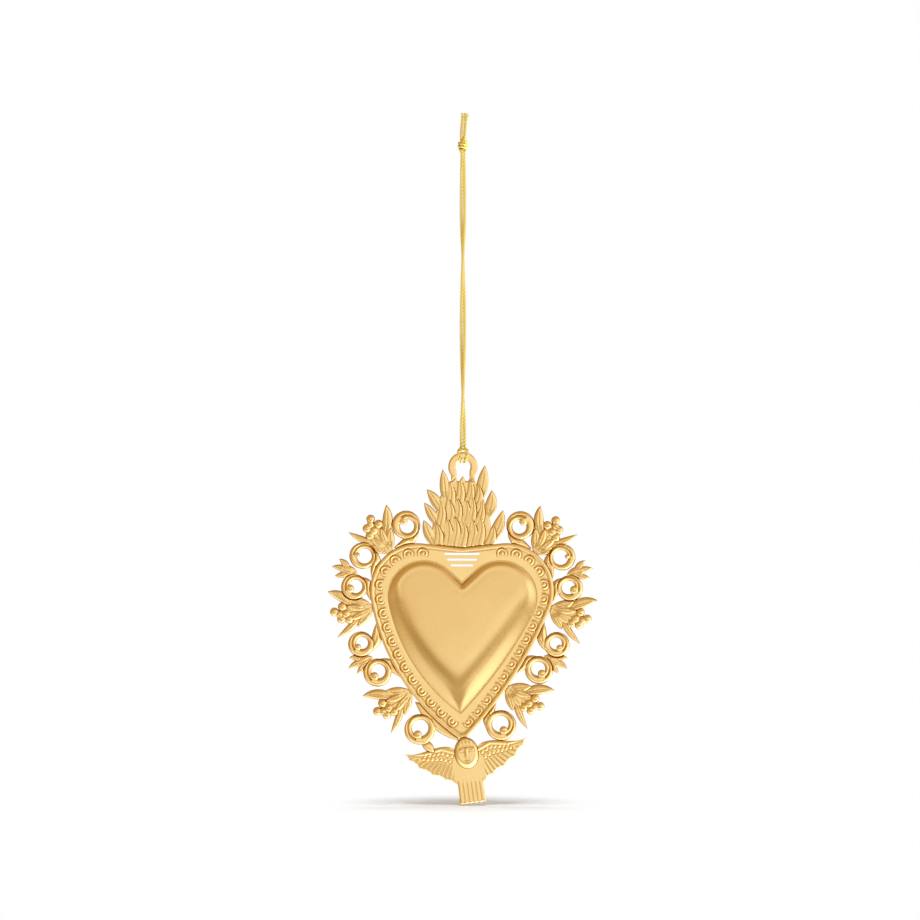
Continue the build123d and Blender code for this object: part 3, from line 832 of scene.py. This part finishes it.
def carried_frames(line):
    """Two directions square to a line at each point, carried along it without turning about it."""
    heading = np.gradient(line, axis=0)
    heading /= np.linalg.norm(heading, axis=1)[:, None]
    aside = (0.31, 0.95, 0.12)
    first = np.cross(heading[0], aside)
    across = [first / np.linalg.norm(first)]
    for here in heading[1:]:
        step = across[-1] - here * (across[-1] @ here)
        across.append(step / np.linalg.norm(step))
    across = np.array(across)
    return across, np.cross(heading, across)


def tube_rings(line, radius, sides=8):
    """Rings of a tube along a line: their points, the faces between them and the winding of each point."""
    across, up = carried_frames(line)
    angles = np.arange(sides) / sides * 2 * pi
    rings = (
        line[:, None]
        + radius * np.cos(angles)[None, :, None] * across[:, None]
        + radius * np.sin(angles)[None, :, None] * up[:, None]
    )
    count = len(line)
    faces = []
    for k in range(count - 1):
        for j in range(sides):
            a, b = k * sides + j, k * sides + (j + 1) % sides
            faces.append((a, b, b + sides, a + sides))
    faces.append(tuple(range(sides))[::-1])
    faces.append(tuple((count - 1) * sides + j for j in range(sides)))
    winding = (run_along(line)[:, None] / film_width + angles[None, :] / (2 * pi)).ravel()
    return rings.reshape(-1, 3), faces, winding


def plied(line, run, spread=1.0, pitch=4.2, plies=3):
    """The middle lines of the plies laid round a cord's line. run is how far along the cord each point is."""
    across, up = carried_frames(line)
    offset = ply_off * np.broadcast_to(spread, len(line))
    lines = []
    for ply in range(plies):
        turn = 2 * pi * (run / pitch + ply / plies)
        lines.append(line + offset[:, None] * (np.cos(turn)[:, None] * across + np.sin(turn)[:, None] * up))
    return lines


def cord_piece(name, middle, lines, radius=ply_r):
    """One mesh of tubes along the given lines, which are laid round a middle line."""
    points, faces, windings, shade_between_plies = [], [], [], []
    hollow_r, hollow_depth = 0.55, 0.22
    first = 0
    for line in lines:
        ring_points, ring_faces, winding = tube_rings(line, radius)
        points.append(ring_points)
        faces.extend(tuple(first + k for k in face) for face in ring_faces)
        windings.append(winding)
        # Painted shade between the plies: darker where a ply's surface lies close to the cord's middle line
        along = np.repeat(middle, len(ring_points) // len(line), axis=0)
        reach = np.linalg.norm(ring_points - along, axis=1)
        shade_between_plies.append(np.clip((hollow_r - reach) / hollow_depth, 0, 1))
        first += len(ring_points)
    mesh = bpy.data.meshes.new(name)
    mesh.from_pydata((np.concatenate(points) * MM).tolist(), [], faces)
    for word, values in (("winding", windings), ("ply_shade", shade_between_plies)):
        values = np.concatenate(values).astype(np.float32)
        mesh.attributes.new(word, "FLOAT", "POINT").data.foreach_set("value", values)
    mesh.shade_smooth()
    mesh.materials.append(CORD_GOLD)
    piece = bpy.data.objects.new(name, mesh)
    bpy.context.scene.collection.objects.link(piece)
    return piece


def make_cord():
    """Legs, hitch and the necks between them, where the cord bends. They are cut from one line, so that the
    plies run on through all of them."""
    left = leg_points(-1)
    hitch_left = [(-x, y, ring_z + z) for x, y, z in reversed(hitch_half)]
    hitch_right = [(x, y, ring_z + z) for x, y, z in hitch_half]
    right = leg_points(1)[::-1]
    line = route_points(left + hitch_left + hitch_right + right, "cord_route")
    run = np.arange(len(line)) * CORD_STEP
    middle = len(line) // 2
    plies = plied(line, run)
    neck_top, neck_foot, stiff_end = bend_z + 5.0, bend_z - 1.6, 0.6
    top_left = next(k for k in range(middle) if line[k, 2] < neck_top)
    foot_left = next(k for k in range(middle) if line[k, 2] < neck_foot)
    top_right = next(k for k in range(len(line) - 1, middle, -1) if line[k, 2] < neck_top)
    foot_right = next(k for k in range(len(line) - 1, middle, -1) if line[k, 2] < neck_foot)
    spans = {
        "leg_left": (0, top_left + 1),
        "neck_left": (top_left, foot_left + 1),
        "hitch": (foot_left, foot_right + 1),
        "neck_right": (foot_right, top_right + 1),
        "leg_right": (top_right, len(line)),
    }
    made = {}
    for word, (start, stop) in spans.items():
        made[word] = cord_piece("gold_cord_" + word, line[start:stop], [ply[start:stop] for ply in plies])
    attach(made["hitch"], "hitch")
    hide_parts("cord_hitch")
    for word in ("left", "right"):
        leg, neck = made["leg_" + word], made["neck_" + word]
        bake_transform(leg)
        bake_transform(neck)
        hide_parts("cord_leg_" + word)
    return made, line, spans


def make_knot():
    """Knot: each strand winds up round the other, drawn tight, and comes out on top as a tail."""
    halves, tails = [], []
    winds, wind_r, bulge_r = 500, 1.2, 0.42
    foot_z, height, slant = 1.1, 3.3, 0.35
    for word, side in (("left", -1), ("right", 1)):
        controls = [(side * leg_x, 0, 0.2), (side * 0.9, 0, 0.8)]
        for share in np.arange(19) / 18:
            turn = radians(winds * share) + (0 if side > 0 else pi)
            bulge = wind_r + bulge_r * sin(pi * share)
            climb = foot_z + height * share + slant * sin(turn)
            controls.append((bulge * cos(turn), -bulge * sin(turn), climb))
        exit_x = -0.65 if side < 0 else 0.75
        controls += [(0.5 * exit_x, 0.1, 4.9), (exit_x, 0, 5.6), (exit_x, 0, 7.2)]
        line = route_points(controls, "knot_route", KNOT_STEP)
        plies = plied(line, np.arange(len(line)) * KNOT_STEP)
        piece = cord_piece("gold_cord_knot_" + word, line, plies, knot_ply_r)
        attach(piece, "knot")
        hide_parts("cord_knot")
        halves.append(piece)
        tail = [
            (exit_x, 0, 6.6),
            (exit_x, 0, 8.6),
            (exit_x + 0.35, 0.1 * side, 11.6),
            (exit_x + 0.75, 0.2 * side, 15.4),
        ]
        line = route_points(tail, "tail_route")
        open_out = 1 + 0.9 * np.clip((line[:, 2] - 12.0) / 3.4, 0, 1) ** 1.5
        plies = plied(line, np.arange(len(line)) * CORD_STEP, open_out)
        piece = cord_piece("gold_cord_tail_" + word, line, plies)
        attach(piece, "knot")
        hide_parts("cord_tail_" + word)
        tails.append(piece)
    return halves, tails


# Stage


def set_camera(scene):
    """A long lens level with the middle of the part, square to its front."""
    pixel = 0.4 * MM
    image, origin_across, origin_down = 920, 463, 152
    away = 1.7
    lens = bpy.data.cameras.new("long_lens")
    lens.sensor_fit = "HORIZONTAL"
    lens.angle = 2 * np.arctan(image * pixel / 2 / away)
    camera = bpy.data.objects.new("long_lens", lens)
    camera.location = ((image / 2 - origin_across) * pixel, -away, (origin_down - image / 2) * pixel)
    camera.rotation_euler = (pi / 2, 0, 0)
    scene.collection.objects.link(camera)
    scene.camera = camera


def stage_plane(name, corners, near, far):
    """A white plane of the stage. It is matt within near of the ornament's foot and plain white past far."""
    mesh = bpy.data.meshes.new(name)
    mesh.from_pydata(corners, [], [(0, 1, 2, 3)])
    plane = bpy.data.objects.new(name, mesh)
    material, tree = new_material("white_" + name)
    place = add_node(tree, "ShaderNodeTexCoord").outputs["Object"]
    foot = add_node(
        tree, "ShaderNodeVectorMath", {0: place, 1: (0.0, 0.0, cad_box[0][2])}, operation="DISTANCE"
    )
    fade = add_node(
        tree,
        "ShaderNodeMapRange",
        {"Value": foot.outputs["Value"], "From Min": near, "From Max": far},
        interpolation_type="SMOOTHSTEP",
    )
    matt = add_node(tree, "ShaderNodeBsdfDiffuse", {"Color": srgb("#F4F4F4")})
    white = add_node(tree, "ShaderNodeEmission", {"Color": srgb("#FFFFFF"), "Strength": 1.0})
    both = add_node(
        tree, "ShaderNodeMixShader", {0: fade.outputs["Result"], 1: matt.outputs[0], 2: white.outputs[0]}
    )
    add_node(tree, "ShaderNodeOutputMaterial", {"Surface": both.outputs[0]})
    mesh.materials.append(material)
    # The sheet mirrors the studio's light and not the stage
    plane.visible_glossy = False
    plane.visible_diffuse = False
    bpy.context.scene.collection.objects.link(plane)


def set_light(scene):
    """Soft light, white from the lower right and warm and dim from the upper left, with a dark hood round
    the lower half of the lens. A strip lamp over the floor gives the shadow. Past the stage the lens sees
    white."""
    world = bpy.data.worlds.new("studio")
    scene.world = world
    world.use_nodes = True
    tree = world.node_tree
    tree.nodes.clear()
    smooth = {"interpolation_type": "SMOOTHSTEP"}
    way = add_node(tree, "ShaderNodeTexCoord").outputs["Generated"]
    axes = add_node(tree, "ShaderNodeSeparateXYZ", {0: way})
    bright_side = Vector((0.55, -0.2, -0.81)).normalized()
    toward = add_node(tree, "ShaderNodeVectorMath", {0: way, 1: bright_side}, operation="DOT_PRODUCT")
    ramp = add_node(
        tree,
        "ShaderNodeMapRange",
        {"Value": toward.outputs["Value"], "From Min": -0.5, "From Max": 0.7, "To Min": 0.62, "To Max": 1.55},
        **smooth,
    )
    shade = 1.0
    for axis, clear, dark in (("Y", -0.99, -0.93), ("Y", -0.68, -0.84), ("Z", 0.0, -0.15)):
        edge = add_node(
            tree,
            "ShaderNodeMapRange",
            {"Value": axes.outputs[axis], "From Min": clear, "From Max": dark},
            **smooth,
        )
        both = add_node(tree, "ShaderNodeMath", {0: edge.outputs["Result"], 1: shade}, operation="MULTIPLY")
        shade = both.outputs[0]
    hood = add_node(tree, "ShaderNodeMapRange", {"Value": shade, "To Min": 1.0, "To Max": 0.34})
    level = add_node(
        tree,
        "ShaderNodeMath",
        {0: ramp.outputs["Result"], 1: hood.outputs["Result"]},
        operation="MULTIPLY",
    )
    lamp_side = Vector((0.64, 0.0, -0.77)).normalized()
    near_lamp = add_node(tree, "ShaderNodeVectorMath", {0: way, 1: lamp_side}, operation="DOT_PRODUCT")
    glint = add_node(
        tree,
        "ShaderNodeMapRange",
        {"Value": near_lamp.outputs["Value"], "From Min": 0.74, "From Max": 0.96, "To Max": 2.2},
        **smooth,
    )
    level = add_node(
        tree, "ShaderNodeMath", {0: level.outputs[0], 1: glint.outputs["Result"]}, operation="ADD"
    )
    cool = add_node(
        tree, "ShaderNodeMapRange", {"Value": level.outputs[0], "From Min": 0.6, "From Max": 1.25}
    )
    tint = add_node(
        tree,
        "ShaderNodeMix",
        {"Factor": cool.outputs["Result"], 6: (1.0, 0.72, 0.36, 1.0), 7: (1.0, 1.05, 1.2, 1.0)},
        data_type="RGBA",
    )
    # The matt floor takes almost none of this light, so that the strip's shadow shows on it
    path = add_node(tree, "ShaderNodeLightPath")
    dim = add_node(
        tree,
        "ShaderNodeMapRange",
        {"Value": path.outputs["Is Diffuse Ray"], "To Min": 1.0, "To Max": 0.05},
    )
    strength = add_node(
        tree, "ShaderNodeMath", {0: level.outputs[0], 1: dim.outputs["Result"]}, operation="MULTIPLY"
    )
    sky = add_node(tree, "ShaderNodeBackground", {"Color": tint.outputs[2], "Strength": strength.outputs[0]})
    white = add_node(tree, "ShaderNodeBackground", {"Color": srgb("#FFFFFF"), "Strength": 1.0})
    seen = add_node(
        tree,
        "ShaderNodeMixShader",
        {0: path.outputs["Is Camera Ray"], 1: sky.outputs[0], 2: white.outputs[0]},
    )
    add_node(tree, "ShaderNodeOutputWorld", {"Surface": seen.outputs[0]})

    strip = bpy.data.lights.new("floor_strip", "AREA")
    strip.shape = "RECTANGLE"
    strip.size, strip.size_y = 0.07, 0.64
    strip.energy = 4.4
    over = bpy.data.objects.new("floor_strip", strip)
    over.location = (0.0, -0.17, 0.3)
    over.visible_glossy = False
    over.visible_camera = False
    scene.collection.objects.link(over)


def set_stage():
    """White floor just under the gown, a white backdrop, soft light and a long lens."""
    scene = bpy.context.scene
    scene.view_settings.view_transform = "Standard"
    low, wide, rear = cad_box[0][2] - 0.0003, 4, 2
    floor = [(-wide, -wide, low), (wide, -wide, low), (wide, rear, low), (-wide, rear, low)]
    backdrop = [(-wide, rear, low), (wide, rear, low), (wide, rear, wide), (-wide, rear, wide)]
    stage_plane("floor", floor, 0.02, 0.062)
    stage_plane("backdrop", backdrop, 0.5, 1.0)
    set_camera(scene)
    set_light(scene)


# The whole part on its stage

set_stage()
cords, cord_line, cord_spans = make_cord()
knots, tails = make_knot()
for word, tail in zip(("left", "right"), tails):
    start, stop = cord_spans["leg_" + word]
    path = cord_line[start:stop] * MM
    if word == "left":
        path = path[::-1]

press_sheet("heart_band", press_band)
press_sheet("heart_dome", press_dome, SMOOTH, 0.25, 0.12)
press_sheet("flame_crest", press_flames)
press_sheet("hanging_ring", press_ring)
for side, word in ((-1, "left"), (1, "right")):
    for number in range(len(scroll_stations)):
        press_sheet(f"scroll_{word}_{number + 1}", press_scroll(side, number))
    for number, station in enumerate(spray_stations):
        press_sheet(f"spray_{word}_{number + 1}", press_spray(side, station))
    for number, station in enumerate(sprig_stations):
        press_sheet(f"sprig_{word}_{number + 1}", press_sprig(side, station))
    press_sheet(f"cherub_wing_{word}", press_wing(side), CRISP, 0.25)
press_sheet("cherub_head", press_head)
press_sheet("cherub_gown", press_gown, CRISP, 0.1)
